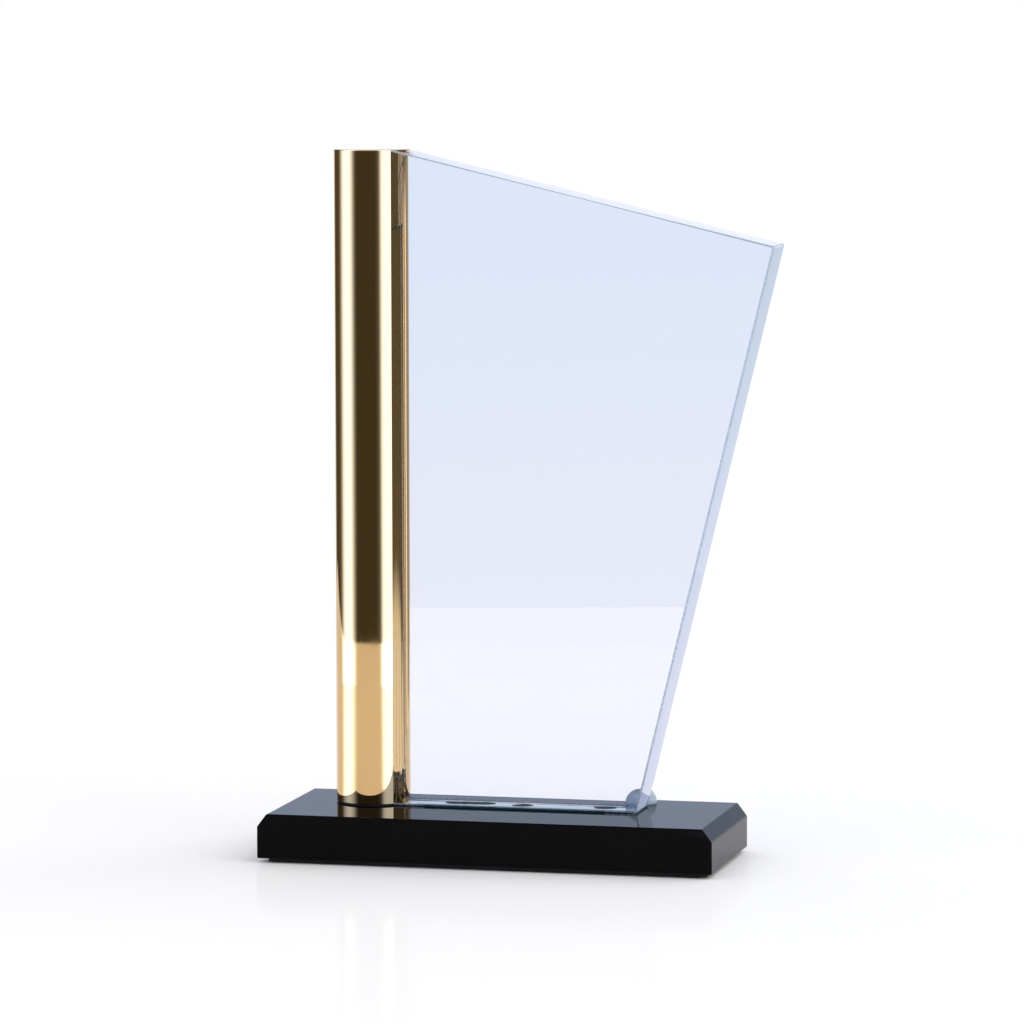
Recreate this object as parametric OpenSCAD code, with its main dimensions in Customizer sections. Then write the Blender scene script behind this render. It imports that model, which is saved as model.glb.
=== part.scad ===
// Column trophy: a clear crystal plate and a gold column standing on a black crystal base.
// Millimetres. The origin is the centre of the base's footprint, on the surface that it stands on.
// +X runs from the column towards the plate's free edge, +Y to the back and +Z up.

/* [Base] */
// Length of the base, left to right
base_len = 150; // [140:1:200]
// Depth of the base, front to back
base_depth = 58; // [54:1:90]
// Height of the glass block, without the pad
block_height = 14.5; // [13:0.5:16]
// How far each end chamfer runs in from the end
chamfer_run = 3.2; // [1:0.1:5]
// How far each end chamfer drops down the end
chamfer_drop = 4.2; // [1:0.1:6]

/* [Pad] */
// Thickness of the foam pad
pad_thick = 1.3; // [1:0.1:3]
// How far the pad is set in from the block's edges
pad_inset = 2.5; // [1:0.1:5]
// Thickness of the tape that holds the pad
tape_thick = 0.2; // [0.1:0.05:0.4]

/* [Column] */
// Outer diameter of the column
column_dia = 25; // [24:0.5:30]
// Wall thickness of the tube
tube_wall = 1.5; // [1:0.1:3]
// Height of the whole trophy
total_height = 229.5; // [200:0.5:300]
// Distance of the column's axis from the middle of the base, towards the left end
column_offset = 45.1; // [40:0.1:50]
// Distance of the column and plate behind the middle of the base
set_back = 7; // [0:0.5:10]
// Thickness of the top cap's disc
cap_thick = 1.2; // [0.8:0.1:3]
// Length of the cap's spigot, which is pressed into the tube
spigot_len = 6; // [3:0.5:15]
// Length of the foot plug
plug_len = 14; // [14:1:30]
// Thickness of the gasket under the column
gasket_thick = 0.5; // [0.3:0.1:1]
// How far the gasket is set in from the column's outside
gasket_inset = 0.4; // [0.2:0.1:1]

/* [Plate] */
// Thickness of the plate
plate_thick = 18; // [10:0.5:20]
// Distance of the plate's foot corner from the middle of the base
plate_foot = 44.7; // [35:0.1:60]
// Distance of the plate's upper corner from the middle of the base
plate_tip = 89.5; // [50:0.5:100]
// Height of the plate's upper corner
plate_tip_height = 199.6; // [120:0.2:199.6]

/* [Bonds] */
// Thickness of the adhesive between the plate and the column
cove_gap = 0.15; // [0.1:0.05:0.3]
// Thickness of the adhesive between the plate and the base
foot_gap = 0.2; // [0.1:0.05:0.4]
// How far the cove adhesive stays inside the plate's edges
bond_inset = 0.6; // [0.3:0.1:1.5]

/* [Bumper] */
// Diameter of the clear bumper
bumper_dia = 9.5; // [6:0.5:10]
// Height of the straight rim under the bumper's dome
bumper_rim = 0.6; // [0.2:0.1:1]

/* [Fixing] */
// Length of the screw under its head
screw_len = 20; // [18:1:22]
// Depth of the counterbore in the bottom of the block
counterbore_depth = 6.5; // [6:0.1:7]

/* [Hidden] */
$fn = 96;

// Levels
block_bottom = pad_thick + tape_thick;
block_top = block_bottom + block_height;
tube_bottom = block_top + gasket_thick;
tube_top = total_height - cap_thick;
plate_bottom = block_top + foot_gap;
counterbore_top = block_bottom + counterbore_depth;

// Column
column_x = -column_offset;
column_r = column_dia / 2;
tube_bore_r = column_r - tube_wall;
cove_r = column_r + cove_gap;

// Plate; its top meets the column's top where its front and back reach the column
plate_front = set_back - plate_thick / 2;
cove_edge_x = column_x + sqrt(cove_r * cove_r - plate_thick * plate_thick / 4);

// Corner radius of the pad and its tape
pad_corner_r = 3;

// Screw and washers, by the sizes of the standard M6 parts
screw_dia = 6;
thread_clearance = 0.05;
shank_hole_r = screw_dia / 2 + 0.3;
cushion_thick = 1;
cushion_r = 6.5;
washer_thick = 1.6;
washer_r = 6;
washer_hole_r = screw_dia / 2 + 0.2;
head_r = 5.25;
head_crown_r = 3.2;
head_height = 3.3;
head_edge = 0.6;
hex_across_flats = 4;
hex_depth = 2;
counterbore_r = 7;
gasket_hole_r = 4;
washer_bottom = counterbore_top - cushion_thick - washer_thick;
screw_tip = washer_bottom + screw_len;
tapped_depth = screw_tip + 1 - tube_bottom;

// Spots of adhesive that run together under the plate, in three patches.
// Each is [distance along the base, depth as a share of the plate's thickness, radius].
bond_spots = [
    [-17.6, 0.66, 3.5], [-14.4, 0.7, 3.9], [-11.2, 0.7, 3.7], [-8.2, 0.72, 3.7],
    [4.6, 0.6, 3.2], [5.3, 0.63, 3.1],
    [32.1, 0.66, 3.5], [32.8, 0.7, 3.3]
];

// Strip of adhesive that has crept along under the plate's front edge
creep_start = -28;
creep_end = plate_foot - 4;
creep_r = 2.6;
creep_back = 3.2;

// Bumper, just behind the plate's foot corner
bumper_r = bumper_dia / 2;
bumper_x = plate_foot - 3;
bumper_y = plate_front + plate_thick + bumper_r + 0.25;

// Places a child on the column's axis at height z
module on_column(z) {
    translate([column_x, set_back, z])
        children();
}

// A round washer or ring with its lower face at z = 0
module ring(outer_r, inner_r, thick) {
    difference() {
        cylinder(r = outer_r, h = thick);
        translate([0, 0, -1])
            cylinder(r = inner_r, h = thick + 2);
    }
}

// Stands an outline drawn in X and Z upright, from y = front to y = back
module upright(front, back) {
    translate([0, back, 0])
        rotate([90, 0, 0])
            linear_extrude(back - front)
                children();
}

// The pad's outline: the block's footprint, set in, with round corners
module pad_outline() {
    half_len = base_len / 2 - pad_inset;
    half_depth = base_depth / 2 - pad_inset;
    square([2 * half_len, 2 * (half_depth - pad_corner_r)], center = true);
    square([2 * (half_len - pad_corner_r), 2 * half_depth], center = true);
    for (sx = [-1, 1], sy = [-1, 1])
        translate([sx * (half_len - pad_corner_r), sy * (half_depth - pad_corner_r)])
            circle(r = pad_corner_r);
}

// The plate seen from the front, reaching in to the column's axis
module plate_outline() {
    polygon([
        [column_x, plate_bottom],
        [plate_foot, plate_bottom],
        [plate_tip, plate_tip_height],
        [cove_edge_x, total_height],
        [column_x, total_height]
    ]);
}

// Black crystal block with both top end edges chamfered and the screw hole under the column
module base_block() {
    half = base_len / 2;
    color([0.03, 0.03, 0.035])
        difference() {
            upright(-base_depth / 2, base_depth / 2)
                polygon([
                    [-half, block_bottom],
                    [half, block_bottom],
                    [half, block_top - chamfer_drop],
                    [half - chamfer_run, block_top],
                    [-half + chamfer_run, block_top],
                    [-half, block_top - chamfer_drop]
                ]);
            on_column(block_bottom - 1)
                cylinder(r = counterbore_r, h = counterbore_depth + 1);
            on_column(block_bottom)
                cylinder(r = shank_hole_r, h = block_height + 1);
        }
}

// Foam pad that the trophy stands on
module base_pad() {
    color([0.08, 0.08, 0.08])
        linear_extrude(pad_thick)
            pad_outline();
}

// Double-sided tape between the pad and the block
module pad_tape() {
    color([0.85, 0.8, 0.65])
        translate([0, 0, pad_thick])
            linear_extrude(tape_thick)
                pad_outline();
}

// Clear crystal plate, coved to fit round the column
module crystal_plate() {
    color([0.78, 0.86, 0.97, 0.5])
        difference() {
            upright(plate_front, plate_front + plate_thick)
                plate_outline();
            on_column(0)
                cylinder(r = cove_r, h = total_height + 10);
        }
}

// Gold-plated tube
module column_tube() {
    color([0.83, 0.66, 0.3])
        on_column(tube_bottom)
            ring(column_r, tube_bore_r, tube_top - tube_bottom);
}

// Disc that closes the top of the tube, with a spigot pressed into the bore
module column_top_cap() {
    color([0.85, 0.69, 0.34])
        on_column(tube_top) {
            cylinder(r = column_r, h = cap_thick);
            translate([0, 0, -spigot_len])
                cylinder(r = tube_bore_r, h = spigot_len);
        }
}

// Turned plug in the foot of the tube, tapped for the screw
module column_foot_plug() {
    color([0.72, 0.58, 0.32])
        on_column(tube_bottom)
            difference() {
                cylinder(r = tube_bore_r, h = plug_len);
                translate([0, 0, -1])
                    cylinder(r = screw_dia / 2 + thread_clearance, h = tapped_depth + 1);
            }
}

// Thin ring that keeps the metal off the glass
module column_gasket() {
    color([0.1, 0.1, 0.1])
        on_column(block_top)
            ring(column_r - gasket_inset, gasket_hole_r, gasket_thick);
}

// Adhesive film in the cove, between the plate and the column
module column_bond() {
    color([0.9, 0.95, 1, 0.4])
        intersection() {
            on_column(plate_bottom + bond_inset)
                ring(cove_r, column_r, total_height - plate_bottom);
            upright(plate_front + bond_inset, plate_front + plate_thick - bond_inset)
                translate([0, -foot_gap - bond_inset])
                    plate_outline();
        }
}

// Adhesive patches between the plate and the base, and the strip along the front
module foot_bond() {
    color([0.1, 0.12, 0.15])
        translate([0, 0, block_top])
            linear_extrude(foot_gap) {
                for (spot = bond_spots)
                    translate([spot[0], plate_front + spot[1] * plate_thick])
                        circle(r = spot[2]);
                hull()
                    for (x = [creep_start, creep_end])
                        translate([x, plate_front + creep_back])
                            circle(r = creep_r);
            }
}

// Clear domed bumper on the base, behind the plate's foot corner
module corner_bumper() {
    color([0.85, 0.92, 0.98, 0.5])
        translate([bumper_x, bumper_y, block_top]) {
            cylinder(r = bumper_r, h = bumper_rim);
            translate([0, 0, bumper_rim])
                rotate_extrude()
                    intersection() {
                        circle(r = bumper_r);
                        square(bumper_r);
                    }
        }
}

// Button-head screw, up through the base into the plug
module column_screw() {
    color("silver")
        on_column(washer_bottom) {
            cylinder(r = screw_dia / 2, h = screw_len);
            difference() {
                translate([0, 0, -head_height])
                    cylinder(r1 = head_crown_r, r2 = head_r, h = head_height - head_edge);
                translate([0, 0, -head_height - 1])
                    cylinder(d = hex_across_flats / cos(30), h = hex_depth + 1, $fn = 6);
            }
            translate([0, 0, -head_edge])
                cylinder(r = head_r, h = head_edge);
        }
}

// Steel washer under the screw head
module flat_washer() {
    color("gainsboro")
        on_column(washer_bottom)
            ring(washer_r, washer_hole_r, washer_thick);
}

// Soft washer between the steel washer and the glass
module cushion_washer() {
    color("ivory")
        on_column(counterbore_top - cushion_thick)
            ring(cushion_r, washer_hole_r, cushion_thick);
}

base_block();
base_pad();
pad_tape();
crystal_plate();
column_tube();
column_top_cap();
column_foot_plug();
column_gasket();
column_bond();
foot_bond();
corner_bumper();
column_screw();
flat_washer();
cushion_washer();
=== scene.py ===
"""Looks of the column trophy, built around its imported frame.

Metres, in the frame's own axes: +X from the column towards the plate's free edge, +Y to the back, +Z up.
Every visible CAD node gets a finer mesh in the same place; the hidden fixings keep their CAD meshes.
"""
import math

import bmesh
import bpy
from mathutils import Matrix, Vector


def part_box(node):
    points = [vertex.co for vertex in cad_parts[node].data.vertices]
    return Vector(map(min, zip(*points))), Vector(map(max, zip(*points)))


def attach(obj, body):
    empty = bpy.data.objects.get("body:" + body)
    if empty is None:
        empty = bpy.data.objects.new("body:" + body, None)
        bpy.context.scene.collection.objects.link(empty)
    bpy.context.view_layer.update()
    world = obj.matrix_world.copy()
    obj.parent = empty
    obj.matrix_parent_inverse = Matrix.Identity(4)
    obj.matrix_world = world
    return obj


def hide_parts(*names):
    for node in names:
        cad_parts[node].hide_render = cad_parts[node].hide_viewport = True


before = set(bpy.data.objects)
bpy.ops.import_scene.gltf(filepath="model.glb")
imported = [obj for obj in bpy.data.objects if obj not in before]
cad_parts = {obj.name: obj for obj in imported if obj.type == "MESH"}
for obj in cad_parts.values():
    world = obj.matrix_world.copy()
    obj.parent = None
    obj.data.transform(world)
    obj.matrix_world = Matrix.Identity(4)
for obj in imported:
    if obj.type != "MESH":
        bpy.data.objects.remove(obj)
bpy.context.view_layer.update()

MM = 0.001

# Camera, solved from the base's corners, the column and the plate
CAMERA_PLACE = (0.4201, -1.7184, 0.2884)
CAMERA_YAW = math.radians(13.64)
CAMERA_PITCH = math.radians(5.67)
CAMERA_ROLL = math.radians(-0.12)
LENS_MM = 193.36
SENSOR_MM = 36.0

# Light
SOFT_LIGHT = 0.98        # strength of the white surround as a light on matt surfaces
KEY_LIGHT = 1.5          # strength of the broad key light from the right
BOX_LIGHT = 4.2          # brightness of the soft boxes that make the column's bright bands
GLOW_LIGHT = 3.0         # brightness of their glow on the table
GLOSSY_BOUNCES = 12      # light that runs along inside the plate bounces many times
TABLE_TONES = (0.868, 0.86, 0.874), (0.88, 0.872, 0.884)

# Sizes that the frame's boxes don't give
PLATE_TIP_HEIGHT = 199.6 * MM
PLATE_FOOT_X = 44.7 * MM
CHAMFER_RUN = 3.2 * MM
CHAMFER_DROP = 4.2 * MM
BLOCK_ARRIS = 0.35 * MM
PLATE_ARRIS = 0.7 * MM
CAP_EDGE = 0.35 * MM
TUBE_EDGE = 0.1 * MM
PAD_CORNER = 3.0 * MM
OVERLAP = 0.03 * MM      # how far bonded glass runs into what it is bonded to, so that no air gap shows
COVE_GAP = 0.15 * MM     # thickness of the adhesive film in the cove
ROUND_STEPS = 256        # sides of a polished cylinder
COVE_STEPS = 24
SHARP_ANGLE = math.radians(40)


# ---------------------------------------------------------------- mesh helpers

def make_piece(name, bm, node, materials):
    """Turns bm into a piece that stands for a CAD node and rides on the root body."""
    bmesh.ops.recalc_face_normals(bm, faces=bm.faces)
    mesh = bpy.data.meshes.new(name)
    bm.to_mesh(mesh)
    bm.free()
    for material in materials:
        mesh.materials.append(material)
    piece = bpy.data.objects.new(name, mesh)
    bpy.context.scene.collection.objects.link(piece)
    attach(piece, "root")
    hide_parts(node)
    return piece


def cut(piece, cutter_bm):
    """Cuts the closed mesh cutter_bm out of the piece and leaves no modifier behind."""
    mesh = bpy.data.meshes.new("cutter")
    bmesh.ops.recalc_face_normals(cutter_bm, faces=cutter_bm.faces)
    cutter_bm.to_mesh(mesh)
    cutter_bm.free()
    cutter = bpy.data.objects.new("cutter", mesh)
    bpy.context.scene.collection.objects.link(cutter)
    modifier = piece.modifiers.new("cut", "BOOLEAN")
    modifier.operation = "DIFFERENCE"
    modifier.solver = "EXACT"
    modifier.object = cutter
    result = bpy.data.meshes.new_from_object(piece.evaluated_get(bpy.context.evaluated_depsgraph_get()))
    piece.modifiers.remove(modifier)
    old = piece.data
    piece.data = result
    bpy.data.meshes.remove(old)
    bpy.data.objects.remove(cutter)
    bpy.data.meshes.remove(mesh)


def prism(bm, outline, direction):
    """Extrudes a closed outline of 3-D points along direction, capped at both ends."""
    near = [bm.verts.new(p) for p in outline]
    far = [bm.verts.new(Vector(p) + Vector(direction)) for p in outline]
    bm.faces.new(near)
    bm.faces.new(far[::-1])
    count = len(outline)
    for i in range(count):
        bm.faces.new((near[i], far[i], far[(i + 1) % count], near[(i + 1) % count]))


def lathe(bm, profile, centre, steps):
    """Turns (radius, height) points about a vertical axis at centre. A radius of 0 closes the end."""
    rings = []
    for radius, height in profile:
        if radius == 0:
            rings.append([bm.verts.new((centre.x, centre.y, height))])
        else:
            rings.append([
                bm.verts.new((
                    centre.x + radius * math.cos(2 * math.pi * i / steps),
                    centre.y + radius * math.sin(2 * math.pi * i / steps),
                    height))
                for i in range(steps)])
    for low, high in zip(rings, rings[1:]):
        for i in range(steps):
            j = (i + 1) % steps
            corners = [low[i % len(low)], low[j % len(low)], high[j % len(high)], high[i % len(high)]]
            bm.faces.new(list(dict.fromkeys(corners)))


def rounded(radius, height, edge, steps, side):
    """Profile points of a quarter-round of size edge, from the wall at radius to the level height.
    side is +1 for an upper edge, met from below, and -1 for a lower edge, met from above.
    The first point lies on the wall itself and keeps the wall's shading straight."""
    points = [(radius, height - side * 2 * edge)]
    for i in range(steps + 1):
        a = math.pi / 2 * i / steps
        points.append((radius - edge + edge * math.cos(a), height - side * edge + side * edge * math.sin(a)))
    return points


def smooth_walls(piece):
    """Shades a turned piece smooth, except its flat ends and square edges."""
    level = 0.9
    for face in piece.data.polygons:
        face.use_smooth = abs(face.normal.z) < level
    piece.data.set_sharp_from_angle(angle=SHARP_ANGLE)


def bevel_edges(bm, test, width, steps=2):
    """Rounds off the edges that pass the test and gives back the new faces."""
    edges = [e for e in bm.edges if test(e)]
    return bmesh.ops.bevel(bm, geom=edges, offset=width, offset_type="OFFSET", segments=steps, profile=0.5,
                           affect="EDGES", clamp_overlap=True)["faces"]


# ---------------------------------------------------------------- materials

def new_material(name):
    """An empty node material with its output, as (material, nodes, links, output)."""
    material = bpy.data.materials.new(name)
    material.use_nodes = True
    tree = material.node_tree
    tree.nodes.clear()
    output = tree.nodes.new("ShaderNodeOutputMaterial")
    return material, tree.nodes, tree.links, output


def principled(nodes, links, output, **values):
    """A Principled shader with constant values on its own sockets."""
    shader = nodes.new("ShaderNodeBsdfPrincipled")
    for socket, value in values.items():
        shader.inputs[socket.replace("_", " ")].default_value = value
    links.new(shader.outputs["BSDF"], output.inputs["Surface"])
    return shader


def noise(nodes, links, scale, stretch=(1, 1, 1), detail=4.0):
    """Object-space noise; stretch scales its axes."""
    place = nodes.new("ShaderNodeTexCoord")
    mapping = nodes.new("ShaderNodeMapping")
    mapping.inputs["Scale"].default_value = stretch
    texture = nodes.new("ShaderNodeTexNoise")
    texture.inputs["Scale"].default_value = scale
    texture.inputs["Detail"].default_value = detail
    links.new(place.outputs["Object"], mapping.inputs["Vector"])
    links.new(mapping.outputs["Vector"], texture.inputs["Vector"])
    return texture.outputs["Fac"]


def spread(nodes, links, value, low, high):
    """Maps a 0 to 1 value to the range low to high."""
    remap = nodes.new("ShaderNodeMapRange")
    remap.inputs["From Min"].default_value = 0.3
    remap.inputs["From Max"].default_value = 0.7
    remap.inputs["To Min"].default_value = low
    remap.inputs["To Max"].default_value = high
    links.new(value, remap.inputs["Value"])
    return remap.outputs["Result"]


def blend_colours(nodes, links, factor, first, second):
    """Mixes two colours by a value."""
    mix = nodes.new("ShaderNodeMix")
    mix.data_type = "RGBA"
    mix.inputs["A"].default_value = (*first, 1)
    mix.inputs["B"].default_value = (*second, 1)
    links.new(factor, mix.inputs["Factor"])
    return mix.outputs["Result"]


def bump(nodes, links, height, distance, strength=1.0):
    """A bump from a height value; distance is in metres."""
    node = nodes.new("ShaderNodeBump")
    node.inputs["Distance"].default_value = distance
    node.inputs["Strength"].default_value = strength
    links.new(height, node.inputs["Height"])
    return node.outputs["Normal"]


def gold_material():
    """Mirror-polished gold plating with faint polishing streaks along the column."""
    material, nodes, links, output = new_material("polished_gold")
    shader = principled(nodes, links, output, Metallic=1.0)
    tone = noise(nodes, links, 40, (1, 1, 0.08))
    tone = spread(nodes, links, tone, 0, 1)
    colour = blend_colours(nodes, links, tone, (0.685, 0.455, 0.20), (0.715, 0.48, 0.22))
    links.new(colour, shader.inputs["Base Color"])
    streaks = noise(nodes, links, 900, (1, 1, 0.01), 2.0)
    links.new(spread(nodes, links, streaks, 0.02, 0.035), shader.inputs["Roughness"])
    links.new(bump(nodes, links, streaks, 0.000002), shader.inputs["Normal"])
    return material


def black_glass_material():
    """Solid black crystal with a mirror gloss and the faintest handling marks."""
    material, nodes, links, output = new_material("black_crystal")
    shader = principled(nodes, links, output, IOR=1.15)
    depth = noise(nodes, links, 60)
    colour = blend_colours(nodes, links, depth, (0.0008, 0.0009, 0.0012), (0.0016, 0.0017, 0.0022))
    links.new(colour, shader.inputs["Base Color"])
    marks = noise(nodes, links, 250, (1, 1, 1), 6.0)
    links.new(spread(nodes, links, marks, 0.0, 0.03), shader.inputs["Roughness"])
    return material


def clear_crystal_material():
    """The plate's clear polished crystal, which takes on a faint blue with depth."""
    material, nodes, links, output = new_material("clear_crystal")
    shader = principled(nodes, links, output, Transmission_Weight=1.0, IOR=1.3,
                        Base_Color=(0.965, 0.965, 0.98, 1))
    marks = noise(nodes, links, 120, (1, 1, 1), 5.0)
    links.new(spread(nodes, links, marks, 0.0, 0.006), shader.inputs["Roughness"])
    volume = nodes.new("ShaderNodeVolumeAbsorption")
    volume.inputs["Color"].default_value = (0.45, 0.54, 0.80, 1)
    volume.inputs["Density"].default_value = 8.0
    links.new(volume.outputs["Volume"], output.inputs["Volume"])
    return material


def painted_dark_arris_material():
    """The plate's finely ground arrises, a little frosted, with painted shade: their dark blue-grey colour
    stands in for the dark line that light leaves along the plate's edges.
    """
    material, nodes, links, output = new_material("ground_arris_painted_dark")
    shader = principled(nodes, links, output, IOR=1.3, Transmission_Weight=0.25)
    grinding = noise(nodes, links, 900)
    # painted shade: dark blue-grey colour for the dark line along the plate's edges
    colour = blend_colours(nodes, links, grinding, (0.30, 0.38, 0.48), (0.40, 0.48, 0.58))
    links.new(colour, shader.inputs["Base Color"])
    links.new(spread(nodes, links, grinding, 0.2, 0.35), shader.inputs["Roughness"])
    return material


def bumper_material():
    """Clear soft polyurethane. Its colour greys towards the crown: painted shade, standing in for the black
    base seen through it.
    """
    material, nodes, links, output = new_material("clear_bumper")
    shader = principled(nodes, links, output, Transmission_Weight=0.35, IOR=1.3)
    split = nodes.new("ShaderNodeSeparateXYZ")
    links.new(nodes.new("ShaderNodeTexCoord").outputs["Object"], split.inputs["Vector"])
    rise = nodes.new("ShaderNodeMapRange")
    rise.inputs["From Min"].default_value = bumper_low.z + 0.7 * (bumper_high.z - bumper_low.z)
    rise.inputs["From Max"].default_value = bumper_high.z
    links.new(split.outputs["Z"], rise.inputs["Value"])
    # painted shade: the colour darkens towards the crown, in place of the black base seen through it
    painted_crown_shade = blend_colours(nodes, links, rise.outputs["Result"], (0.58, 0.69, 0.80), (0.12, 0.18, 0.21))
    links.new(painted_crown_shade, shader.inputs["Base Color"])
    marks = noise(nodes, links, 300)
    links.new(spread(nodes, links, marks, 0.03, 0.12), shader.inputs["Roughness"])
    return material


def film_material():
    """Cured clear adhesive between two glass-clear faces: it has no surface of its own to see."""
    material, nodes, links, output = new_material("clear_adhesive")
    shader = principled(nodes, links, output, Transmission_Weight=1.0, IOR=1.0,
                        Base_Color=(0.99, 0.995, 1, 1))
    flow = noise(nodes, links, 200)
    links.new(spread(nodes, links, flow, 0.0, 0.01), shader.inputs["Roughness"])
    return material


def dark_bond_and_shade_material():
    """Dark adhesive that wets both the plate and the base, so that the black base shows through it. On the
    bead along the plate's front edge the same dark colour is painted shade.
    """
    material, nodes, links, output = new_material("dark_bond_and_painted_shade")
    shader = principled(nodes, links, output, IOR=1.03)
    flow = noise(nodes, links, 300)
    # dark adhesive colour, also used as painted shade on the bead along the plate's front foot
    colour = blend_colours(nodes, links, flow, (0.004, 0.012, 0.018), (0.015, 0.04, 0.06))
    links.new(colour, shader.inputs["Base Color"])
    links.new(spread(nodes, links, flow, 0.1, 0.3), shader.inputs["Roughness"])
    return material


def foam_material():
    """Matt black closed-cell foam."""
    material, nodes, links, output = new_material("black_foam")
    shader = principled(nodes, links, output, IOR=1.45)
    cells = nodes.new("ShaderNodeTexVoronoi")
    cells.inputs["Scale"].default_value = 2500
    place = nodes.new("ShaderNodeTexCoord")
    links.new(place.outputs["Object"], cells.inputs["Vector"])
    distance = cells.outputs["Distance"]
    colour = blend_colours(nodes, links, distance, (0.006, 0.006, 0.006), (0.022, 0.022, 0.023))
    links.new(colour, shader.inputs["Base Color"])
    links.new(spread(nodes, links, distance, 0.8, 0.95), shader.inputs["Roughness"])
    links.new(bump(nodes, links, distance, 0.00006), shader.inputs["Normal"])
    return material


def plain_material(name, first, second, rough, metallic=0.0, scale=400, stretch=(1, 1, 1), relief=0.000004):
    """A simple worked surface: two close tones, uneven roughness and a fine relief."""
    material, nodes, links, output = new_material(name)
    shader = principled(nodes, links, output, Metallic=metallic)
    grain = noise(nodes, links, scale, stretch)
    links.new(blend_colours(nodes, links, grain, first, second), shader.inputs["Base Color"])
    links.new(spread(nodes, links, grain, *rough), shader.inputs["Roughness"])
    links.new(bump(nodes, links, grain, relief), shader.inputs["Normal"])
    return material


gold = gold_material()
black_glass = black_glass_material()
plate_glass = clear_crystal_material()
painted_dark_arris_glass = painted_dark_arris_material()
film = film_material()
dark_bond_and_painted_shade = dark_bond_and_shade_material()
foam = foam_material()
rubber = plain_material("gasket_rubber", (0.008, 0.008, 0.008), (0.02, 0.02, 0.02), (0.5, 0.7),
                        relief=0.00001)
tape = plain_material("tape", (0.6, 0.52, 0.36), (0.72, 0.64, 0.46), (0.5, 0.7))
nylon = plain_material("nylon", (0.72, 0.71, 0.66), (0.8, 0.79, 0.75), (0.35, 0.5))
brass = plain_material("turned_brass", (0.55, 0.38, 0.16), (0.68, 0.48, 0.22), (0.2, 0.32), 1.0, 600,
                       (1, 1, 12))
steel = plain_material("zinc_steel", (0.5, 0.51, 0.53), (0.66, 0.67, 0.7), (0.22, 0.38), 1.0, 700)


# ---------------------------------------------------------------- the column

tube_low, tube_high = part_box("column_tube")
cap_low, cap_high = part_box("column_top_cap")
axis = (tube_low + tube_high) / 2
column_r = (tube_high.x - tube_low.x) / 2
plug_low, plug_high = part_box("column_foot_plug")
bore_r = (plug_high.x - plug_low.x) / 2


def column_tube():
    """The gold tube: an open-ended shell. Its top meets the cap flush, with a joint too fine to see."""
    bm = bmesh.new()
    low, high = tube_low.z, tube_high.z
    outside = rounded(column_r, low, TUBE_EDGE, 3, -1)[::-1] + [(column_r, high)]
    profile = [(bore_r, low)] + outside + [(bore_r, high), (bore_r, low)]
    lathe(bm, profile, axis, ROUND_STEPS)
    bmesh.ops.remove_doubles(bm, verts=bm.verts, dist=1e-7)
    smooth_walls(make_piece("gold_tube", bm, "column_tube", [gold]))


def column_top_cap():
    """The disc that closes the tube, with a softly rounded rim, and its spigot."""
    bm = bmesh.new()
    tube_end = tube_high.z
    rim = [(column_r, tube_end)] + rounded(column_r, cap_high.z, CAP_EDGE, 5, 1)
    profile = [(0, cap_low.z), (bore_r, cap_low.z), (bore_r, tube_end)] + rim + [(0, cap_high.z)]
    lathe(bm, profile, axis, ROUND_STEPS)
    smooth_walls(make_piece("gold_top_cap", bm, "column_top_cap", [gold]))


def column_gasket():
    """The thin ring under the column."""
    low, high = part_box("column_gasket")
    outer = (high.x - low.x) / 2
    hole = 4.0 * MM
    edge = 0.1 * MM
    bm = bmesh.new()
    outside = rounded(outer, low.z, edge, 2, -1)[::-1] + rounded(outer, high.z, edge, 2, 1)
    lathe(bm, [(hole, low.z)] + outside + [(hole, high.z), (hole, low.z)], axis, 96)
    bmesh.ops.remove_doubles(bm, verts=bm.verts, dist=1e-7)
    smooth_walls(make_piece("foot_gasket", bm, "column_gasket", [rubber]))


# ---------------------------------------------------------------- the plate

plate_low, plate_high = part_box("crystal_plate")
bumper_low, bumper_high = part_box("corner_bumper")


def plate_top(x):
    """Height of the plate's sloping top at x. It meets the column's top where the plate's faces reach it."""
    meeting = axis.x + math.sqrt((column_r + COVE_GAP) ** 2 - ((plate_high.y - plate_low.y) / 2) ** 2)
    share = (x - meeting) / (plate_high.x - meeting)
    return cap_high.z + share * (PLATE_TIP_HEIGHT - cap_high.z)


def crystal_plate():
    """The clear plate: polished flats with an arris on every free edge, coved to the column."""
    bm = bmesh.new()
    cove_r = column_r - OVERLAP
    reach = (plate_high.y - plate_low.y) / 2
    half_angle = math.asin(reach / cove_r)
    turns = [half_angle * (2 * i / COVE_STEPS - 1) for i in range(COVE_STEPS + 1)]
    cove = [(axis.x + cove_r * math.cos(t), axis.y + cove_r * math.sin(t)) for t in turns]
    low = [bm.verts.new((x, y, plate_low.z)) for x, y in cove]
    high = [bm.verts.new((x, y, plate_top(x))) for x, y in cove]
    foot = [bm.verts.new((PLATE_FOOT_X, y, plate_low.z)) for y in (plate_low.y, plate_high.y)]
    tip = [bm.verts.new((plate_high.x, y, PLATE_TIP_HEIGHT)) for y in (plate_low.y, plate_high.y)]
    for i in range(COVE_STEPS):
        bm.faces.new((low[i], low[i + 1], high[i + 1], high[i]))
    bm.faces.new(low + [foot[1], foot[0]])
    bm.faces.new(high + [tip[1], tip[0]])
    bm.faces.new((low[0], foot[0], tip[0], high[0]))
    bm.faces.new((low[-1], foot[1], tip[1], high[-1]))
    bm.faces.new((foot[0], foot[1], tip[1], tip[0]))
    cove_end = axis.x + cove_r + 0.1 * MM
    # the arrises take the dark blue-grey painted shade
    for face in bevel_edges(bm, lambda e: max(v.co.x for v in e.verts) > cove_end, PLATE_ARRIS):
        face.material_index = 1
    piece = make_piece("clear_plate", bm, "crystal_plate", [plate_glass, painted_dark_arris_glass])
    for face in piece.data.polygons:
        face.use_smooth = face.center.x < cove_end and abs(face.normal.z) < 0.1 and abs(face.normal.y) < 0.99
    piece.visible_shadow = False


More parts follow.
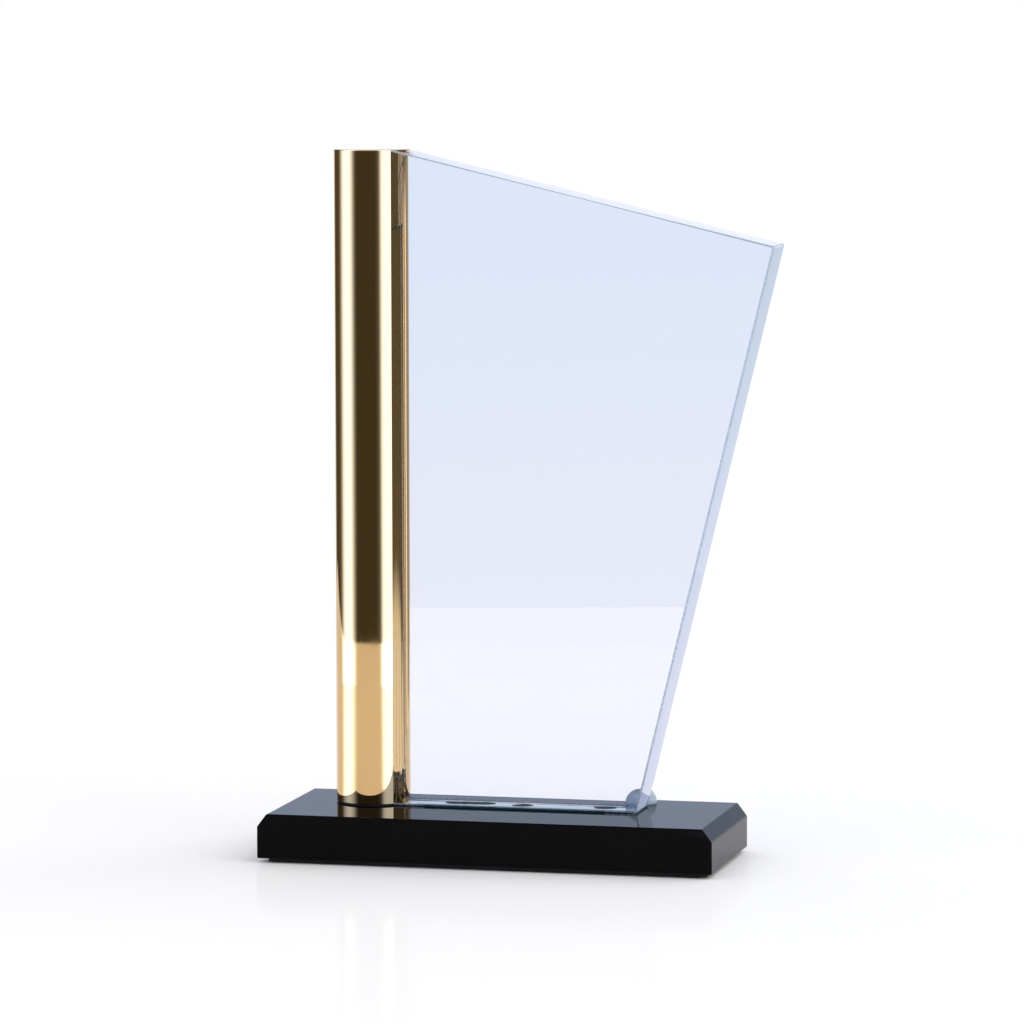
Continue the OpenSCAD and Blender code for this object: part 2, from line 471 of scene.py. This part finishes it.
def corner_bumper():
    """The small clear dome behind the plate's foot corner."""
    centre = (bumper_low + bumper_high) / 2
    radius = (bumper_high.x - bumper_low.x) / 2
    rim = bumper_high.z - bumper_low.z - radius
    rings = 20
    profile = [(0, bumper_low.z), (radius, bumper_low.z)]
    for i in range(rings + 1):
        a = math.pi / 2 * i / rings
        out = 0 if i == rings else radius * math.cos(a)
        profile.append((out, bumper_low.z + rim + radius * math.sin(a)))
    bm = bmesh.new()
    lathe(bm, profile, centre, 64)
    piece = make_piece("clear_bumper_dome", bm, "corner_bumper", [bumper_material()])
    for face in piece.data.polygons:
        face.use_smooth = face.normal.z > -0.5
    piece.visible_shadow = False


# ---------------------------------------------------------------- the base

block_low, block_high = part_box("base_block")


def base_block():
    """The black block: chamfered ends, a fine arris on every edge, and the screw hole from below."""
    outline = [
        (block_low.x, block_low.z),
        (block_high.x, block_low.z),
        (block_high.x, block_high.z - CHAMFER_DROP),
        (block_high.x - CHAMFER_RUN, block_high.z),
        (block_low.x + CHAMFER_RUN, block_high.z),
        (block_low.x, block_high.z - CHAMFER_DROP),
    ]
    bm = bmesh.new()
    prism(bm, [(x, block_low.y, z) for x, z in outline], (0, block_high.y - block_low.y, 0))
    bevel_edges(bm, lambda e: True, BLOCK_ARRIS)
    piece = make_piece("black_block", bm, "base_block", [black_glass])
    _, washer_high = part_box("cushion_washer")
    screw_hole_r = 3.3 * MM
    counterbore_r = 7.0 * MM
    below = block_low.z - 1 * MM
    above = block_high.z + 1 * MM
    hole = bmesh.new()
    lathe(hole, [(0, below), (counterbore_r, below), (counterbore_r, washer_high.z),
                 (screw_hole_r, washer_high.z), (screw_hole_r, above), (0, above)], axis, 64)
    cut(piece, hole)


def base_pad():
    """The foam pad, set in under the block, with slightly crushed edges."""
    low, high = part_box("base_pad")
    steps = 8
    outline = []
    for sx, sy, start in ((1, 1, 0), (-1, 1, 1), (-1, -1, 2), (1, -1, 3)):
        for i in range(steps + 1):
            a = math.pi / 2 * (start + i / steps)
            x = sx * (high.x - PAD_CORNER) + PAD_CORNER * math.cos(a)
            y = sy * (high.y - PAD_CORNER) + PAD_CORNER * math.sin(a)
            outline.append((x, y, low.z))
    bm = bmesh.new()
    prism(bm, outline, (0, 0, high.z - low.z))
    edge = 0.15 * MM
    bevel_edges(bm, lambda e: abs(e.verts[0].co.z - e.verts[1].co.z) < 1e-6, edge)
    make_piece("foam_pad", bm, "base_pad", [foam])


# ---------------------------------------------------------------- bonds and fixings

def column_bond():
    """The adhesive film in the cove."""
    low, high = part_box("column_bond")
    outer_r = column_r + COVE_GAP
    reach = (high.y - low.y) / 2
    half_angle = math.asin(reach / outer_r)
    turns = [half_angle * (2 * i / COVE_STEPS - 1) for i in range(COVE_STEPS + 1)]
    below_top = 0.8 * MM
    film_top = plate_top(axis.x + outer_r) - below_top
    bm = bmesh.new()
    outline = [(axis.x + r * math.cos(t), axis.y + r * math.sin(t), low.z)
               for r, sweep in ((outer_r, turns), (column_r - 2 * OVERLAP, turns[::-1])) for t in sweep]
    prism(bm, outline, (0, 0, film_top - low.z))
    piece = make_piece("cove_adhesive", bm, "column_bond", [film])
    piece.visible_glossy = False
    piece.visible_transmission = False


def foot_bond():
    """The patches and the strip of adhesive under the plate, one mesh island for each CAD solid, and a
    painted shadow: a fine dark bead along the plate's front edge, in place of the shade at the plate's foot."""
    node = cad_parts["foot_bond"]
    bm = bmesh.new()
    bm.from_mesh(node.data)
    bmesh.ops.remove_doubles(bm, verts=bm.verts, dist=1e-6)
    bmesh.ops.dissolve_limit(bm, angle_limit=math.radians(1), verts=bm.verts, edges=bm.edges)
    top = max(v.co.z for v in bm.verts)
    for v in bm.verts:
        if v.co.z > top - 0.01 * MM:
            v.co.z += OVERLAP
    # painted shade: a dark bead along the plate's front edge, where there is only shade at the plate's foot
    shade_bead_start, shade_bead_end, shade_bead_r, steps = -26 * MM, 34 * MM, 0.6 * MM, 6
    foot = block_high.z - OVERLAP
    section = [(shade_bead_start, plate_low.y, foot)] + [
        (shade_bead_start, plate_low.y - shade_bead_r * math.cos(a), foot + shade_bead_r * math.sin(a))
        for a in (math.pi / 2 * i / steps for i in range(steps + 1))]
    prism(bm, section, (shade_bead_end - shade_bead_start, 0, 0))
    make_piece("foot_adhesive", bm, "foot_bond", [dark_bond_and_painted_shade])


column_tube()
column_top_cap()
column_gasket()
crystal_plate()
corner_bumper()
base_block()
base_pad()
column_bond()
foot_bond()

for node, material in (("pad_tape", tape), ("column_foot_plug", brass), ("column_screw", steel),
                       ("flat_washer", steel), ("cushion_washer", nylon)):
    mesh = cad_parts[node].data
    mesh.materials.clear()
    mesh.materials.append(material)


# ---------------------------------------------------------------- stage, light and camera

toward_camera = Vector((math.sin(CAMERA_YAW), -math.cos(CAMERA_YAW), 0))
right_of_camera = Vector((math.cos(CAMERA_YAW), math.sin(CAMERA_YAW), 0))


def stage_place(right, toward, up=0.0):
    """A point on the stage, measured along the camera's right and towards the camera."""
    return right_of_camera * right + toward_camera * toward + Vector((0, 0, up))


def stage_mesh(name, corners, faces, material):
    """A part of the stage."""
    mesh = bpy.data.meshes.new(name)
    mesh.from_pydata([tuple(c) for c in corners], [], faces)
    mesh.materials.append(material)
    panel = bpy.data.objects.new(name, mesh)
    bpy.context.scene.collection.objects.link(panel)
    return panel


def ramp(nodes, stops):
    """A colour ramp with the given (position, colour) stops."""
    node = nodes.new("ShaderNodeValToRGB")
    elements = node.color_ramp.elements
    elements[0].position, elements[0].color = stops[0][0], (*stops[0][1], 1)
    elements[1].position, elements[1].color = stops[-1][0], (*stops[-1][1], 1)
    for position, colour in stops[1:-1]:
        element = elements.new(position)
        element.color = (*colour, 1)
    return node


def maths(nodes, links, operation, *inputs):
    """A Math node fed with sockets or numbers."""
    node = nodes.new("ShaderNodeMath")
    node.operation = operation
    for socket, value in zip(node.inputs, inputs):
        if isinstance(value, (int, float)):
            socket.default_value = value
        else:
            links.new(value, socket)
    return node.outputs[0]


def around_column(piece):
    """Puts a stage piece made about the column's axis in its place, with its own -Y towards the camera."""
    piece.matrix_world = Matrix.Translation((axis.x, axis.y, 0)) @ Matrix.Rotation(CAMERA_YAW, 4, "Z")


def soft_glow(nodes, links, strength):
    """Cool light from the two soft boxes, by the direction round the column's axis, with faded sides.
    Gives the glow's shader and the place it is worked out from, as (emission, side, away)."""
    split = nodes.new("ShaderNodeSeparateXYZ")
    links.new(nodes.new("ShaderNodeTexCoord").outputs["Object"], split.inputs["Vector"])
    side, away, _ = split.outputs
    angle = maths(nodes, links, "ARCTAN2", side, maths(nodes, links, "MULTIPLY", away, -1.0))
    share = maths(nodes, links, "ADD", maths(nodes, links, "DIVIDE", angle, 2 * math.pi), 0.5)
    left_fade = [(-120, 0), (-114, 0.04), (-109, 0.12), (-104, 0.34), (-100, 0.58), (-95, 0.72), (-91, 0.87),
                 (-87, 1), (-75, 1), (-71, 0.88), (-68, 0.74), (-65, 0.62), (-61, 0.42), (-58, 0.24),
                 (-55, 0.13), (-51, 0.03), (-46, 0)]
    right_fade = [(14, 0.01), (18, 0.04), (21, 0.1), (24, 0.3), (27, 0.58), (30, 0.74), (33, 0.9), (37, 1),
                  (56, 1), (59, 0.8), (62, 0.58), (65, 0.4), (68, 0.2), (73, 0.06), (80, 0)]
    falloff = ramp(nodes, [((degrees + 180) / 360, (level * 0.48, level * 0.62, level))
                           for degrees, level in left_fade + right_fade])
    links.new(share, falloff.inputs["Fac"])
    glow = nodes.new("ShaderNodeEmission")
    glow.inputs["Strength"].default_value = strength
    links.new(falloff.outputs["Color"], glow.inputs["Color"])
    return glow, side, away


def lamp_material():
    """The soft boxes' light. It adds to whatever lies behind, so that the fading edges need no outline."""
    material, nodes, links, output = new_material("soft_box")
    glow, _, _ = soft_glow(nodes, links, BOX_LIGHT)
    clear = nodes.new("ShaderNodeBsdfTransparent")
    total = nodes.new("ShaderNodeAddShader")
    links.new(glow.outputs["Emission"], total.inputs[0])
    links.new(clear.outputs["BSDF"], total.inputs[1])
    links.new(total.outputs["Shader"], output.inputs["Surface"])
    return material


def table_material():
    """Pale satin table top. Polished things that stand on it also mirror the soft boxes' glow from it,
    outside the patch that the base's front face would mirror."""
    material, nodes, links, output = new_material("pale_table")
    shader = principled(nodes, links, output, Roughness=0.1, IOR=1.032)
    colour = blend_colours(nodes, links, noise(nodes, links, 30), *TABLE_TONES)
    links.new(colour, shader.inputs["Base Color"])
    glow, side, away = soft_glow(nodes, links, GLOW_LIGHT)
    near_left, near_right = 0.09, 0.155
    near = maths(nodes, links, "MULTIPLY_ADD", maths(nodes, links, "SIGN", side),
                 (near_right - near_left) / 2, (near_right + near_left) / 2)
    side_squared = maths(nodes, links, "MULTIPLY", side, side)
    away_squared = maths(nodes, links, "MULTIPLY", away, away)
    radius = maths(nodes, links, "SQRT", maths(nodes, links, "ADD", side_squared, away_squared))
    beyond = maths(nodes, links, "GREATER_THAN", radius, near)
    mirrored = nodes.new("ShaderNodeLightPath").outputs["Is Glossy Ray"]
    choose = nodes.new("ShaderNodeMixShader")
    links.new(maths(nodes, links, "MULTIPLY", beyond, mirrored), choose.inputs["Fac"])
    both = nodes.new("ShaderNodeAddShader")
    for i, part in enumerate((shader.outputs["BSDF"], glow.outputs["Emission"])):
        links.new(part, both.inputs[i])
    links.new(shader.outputs["BSDF"], choose.inputs[1])
    links.new(both.outputs["Shader"], choose.inputs[2])
    links.new(choose.outputs["Shader"], output.inputs["Surface"])
    return material


def floor_material():
    """Matt pale floor in the table's colour."""
    material, nodes, links, output = new_material("pale_floor")
    shader = principled(nodes, links, output, Roughness=1.0, IOR=1.0)
    colour = blend_colours(nodes, links, noise(nodes, links, 3), *TABLE_TONES)
    links.new(colour, shader.inputs["Base Color"])
    return material


def build_table():
    """A table that is round towards the camera and straight behind, and the pale floor beyond it. The front
    of the table and the floor are hidden from rays that have passed through clear pieces."""
    material = table_material()
    reach, back, back_right, steps, arc_end = 0.575, 0.685, 0.28, 48, 62
    turns = [math.radians(-90 + (90 + arc_end) * i / steps) for i in range(steps + 1)]
    edge = [(reach * math.sin(a), -reach * math.cos(a), 0) for a in turns] + [(back_right, 0, 0)]
    front = stage_mesh("table_front", edge, [tuple(range(len(edge)))], material)
    around_column(front)
    front.visible_transmission = False
    behind = [(-reach, 0, 0), (back_right, 0, 0), (back_right, back, 0), (-reach, back, 0)]
    around_column(stage_mesh("table_back", behind, [(0, 1, 2, 3)], material))
    far, down = 12.0, -0.0002
    floor = stage_mesh("floor", [(-far, -far, down), (far, -far, down), (far, far, down), (-far, far, down)],
                       [(0, 1, 2, 3)], floor_material())
    floor.visible_glossy = False
    floor.visible_transmission = False


def build_lights():
    """Two tall soft boxes for the column's bright bands, which only polished surfaces see, and a broad key
    from the right for the soft shadow."""
    reach, foot, top, steps = 0.43, 0.0005, 1.0, 36
    material = lamp_material()
    for name, start, end in (("left_box", -120, -44), ("right_box", 10, 82)):
        corners, faces = [], []
        for i in range(steps + 1):
            a = math.radians(start + (end - start) * i / steps)
            corners += [(reach * math.sin(a), -reach * math.cos(a), height) for height in (foot, top)]
            if i:
                faces.append((2 * i - 2, 2 * i - 1, 2 * i + 1, 2 * i))
        box = stage_mesh(name, corners, faces, material)
        around_column(box)
        box.visible_camera = False
        box.visible_diffuse = False
        box.visible_transmission = False
        box.visible_shadow = False
    data = bpy.data.lights.new("key", "SUN")
    data.energy = KEY_LIGHT
    data.angle = math.radians(80)
    key = bpy.data.objects.new("key", data)
    key.matrix_world = (-stage_place(0.85, 0.12, 0.5)).to_track_quat("-Z", "Y").to_matrix().to_4x4()
    key.visible_camera = False
    key.visible_glossy = False
    key.visible_transmission = False
    bpy.context.scene.collection.objects.link(key)


def build_world():
    """A white surround for what the camera sees and for soft light, and a studio for polished surfaces: a
    dark room in front, dark flags at the sides and a cool backdrop behind. What is seen through the clear
    plate has colours of its own."""
    world = bpy.data.worlds.new("studio")
    world.use_nodes = True
    nodes, links = world.node_tree.nodes, world.node_tree.links
    nodes.clear()
    output = nodes.new("ShaderNodeOutputWorld")
    direction = nodes.new("ShaderNodeTexCoord").outputs["Generated"]
    turned = nodes.new("ShaderNodeMapping")
    turned.vector_type = "VECTOR"
    turned.inputs["Rotation"].default_value = (0, 0, -CAMERA_YAW)
    links.new(direction, turned.inputs["Vector"])
    split = nodes.new("ShaderNodeSeparateXYZ")
    links.new(turned.outputs["Vector"], split.inputs["Vector"])
    side, away, up = split.outputs
    angle = maths(nodes, links, "ARCTAN2", side, maths(nodes, links, "MULTIPLY", away, -1.0))
    share = maths(nodes, links, "ADD", maths(nodes, links, "DIVIDE", angle, 2 * math.pi), 0.5)

    def plain(colour):
        """One colour in every direction."""
        node = nodes.new("ShaderNodeRGB")
        node.outputs["Color"].default_value = (*colour, 1)
        return node.outputs["Color"]

    def surround(stops):
        """Colours all round, by the angle from the camera's side of the trophy round to the right."""
        node = ramp(nodes, [((degrees + 180) / 360, colour) for degrees, colour in stops])
        links.new(share, node.inputs["Fac"])
        return node.outputs["Color"]

    def mixed(factor, first, second):
        """Goes from the first colour to the second with the factor."""
        mix = nodes.new("ShaderNodeMix")
        mix.data_type = "RGBA"
        links.new(factor, mix.inputs["Factor"])
        links.new(first, mix.inputs["A"])
        links.new(second, mix.inputs["B"])
        return mix.outputs["Result"]

    def layered(start, end, below, above):
        """Goes from one colour to the other as the elevation's sine goes from start to end."""
        rise = nodes.new("ShaderNodeMapRange")
        rise.inputs["From Min"].default_value = start
        rise.inputs["From Max"].default_value = end
        links.new(up, rise.inputs["Value"])
        return mixed(rise.outputs["Result"], below, above)

    # What polished surfaces mirror
    flag, room = (0.10, 0.088, 0.06), (0.07, 0.065, 0.045)

    def mirrored_round(backdrop):
        return surround([(-180, backdrop), (-158, backdrop), (-145, flag), (-104, flag), (-57, room),
                         (25, room), (72, flag), (120, flag), (140, backdrop), (180, backdrop)])

    mirrored = layered(0.1, 0.15, mirrored_round((1.1, 1.12, 1.16)), mirrored_round((0.645, 0.75, 0.985)))
    mirrored = layered(0.35, 0.8, mirrored, plain((0.85, 0.87, 0.9)))

    # What is seen through the clear plate: the backdrop straight through it, the sides along it to its edges
    pale, lit, amber = (0.78, 0.84, 0.97), (1.65, 1.62, 1.55), (0.24, 0.21, 0.14)
    shade, mist = (0.42, 0.40, 0.36), (0.50, 0.50, 0.50)

    def seen_round(left, right):
        return surround([(-180, left), (-100, left), (-30, pale), (34, pale), (46, right), (90, right),
                         (95, amber), (105, amber), (109, right), (117, right), (126, shade), (160, mist),
                         (180, mist)])

    # The sides in layers: above the horizon, a lit strip just under it, and the ground further down
    low_left, high_left = (0.56, 0.61, 0.83), (0.30, 0.44, 0.61)
    sides = layered(0.028, 0.105, seen_round(low_left, amber), seen_round(high_left, amber))
    sides = layered(-0.045, -0.035, seen_round(low_left, lit), sides)
    ground = (0.95, 0.96, 0.98)
    down = surround([(-180, ground), (36, ground), (46, amber), (97, amber), (104, ground), (180, ground)])
    sides = layered(-0.2, -0.15, down, sides)

    # The backdrop takes over where the plate is looked straight through
    yes, no = (1, 1, 1), (0, 0, 0)
    behind = surround([(-180, yes), (-160, yes), (-145, no), (167, no), (174, yes), (180, yes)])
    back = layered(-0.115, -0.05, plain((0.927, 0.943, 1.005)), plain((0.829, 0.896, 1.015)))
    through = mixed(behind, sides, layered(0.03, 0.08, back, plain((0.53, 0.635, 0.765))))
    path = nodes.new("ShaderNodeLightPath")
    studio = nodes.new("ShaderNodeBackground")
    links.new(mixed(path.outputs["Is Transmission Ray"], mirrored, through), studio.inputs["Color"])
    white = nodes.new("ShaderNodeBackground")
    white.inputs["Color"].default_value = (1, 1, 1, 1)
    seen, soft = path.outputs["Is Camera Ray"], path.outputs["Is Diffuse Ray"]
    links.new(maths(nodes, links, "MAXIMUM", seen, maths(nodes, links, "MULTIPLY", soft, SOFT_LIGHT)),
              white.inputs["Strength"])
    choose = nodes.new("ShaderNodeMixShader")
    links.new(maths(nodes, links, "MAXIMUM", seen, soft), choose.inputs["Fac"])
    links.new(studio.outputs["Background"], choose.inputs[1])
    links.new(white.outputs["Background"], choose.inputs[2])
    links.new(choose.outputs["Shader"], output.inputs["Surface"])
    bpy.context.scene.world = world


def build_camera():
    """The camera, at the place that the base's corners, the column and the plate give."""
    data = bpy.data.cameras.new("camera")
    data.lens = LENS_MM
    data.sensor_width = SENSOR_MM
    data.clip_start = 0.05
    data.clip_end = 50
    camera = bpy.data.objects.new("camera", data)
    turn = Matrix.Rotation(CAMERA_YAW, 4, "Z") @ Matrix.Rotation(math.pi / 2 - CAMERA_PITCH, 4, "X")
    camera.matrix_world = Matrix.Translation(CAMERA_PLACE) @ turn @ Matrix.Rotation(CAMERA_ROLL, 4, "Z")
    bpy.context.scene.collection.objects.link(camera)
    bpy.context.scene.camera = camera


build_table()
build_lights()
build_world()
build_camera()
bpy.context.scene.view_settings.view_transform = "Standard"
bpy.context.scene.cycles.glossy_bounces = GLOSSY_BOUNCES

bpy.context.view_layer.update()
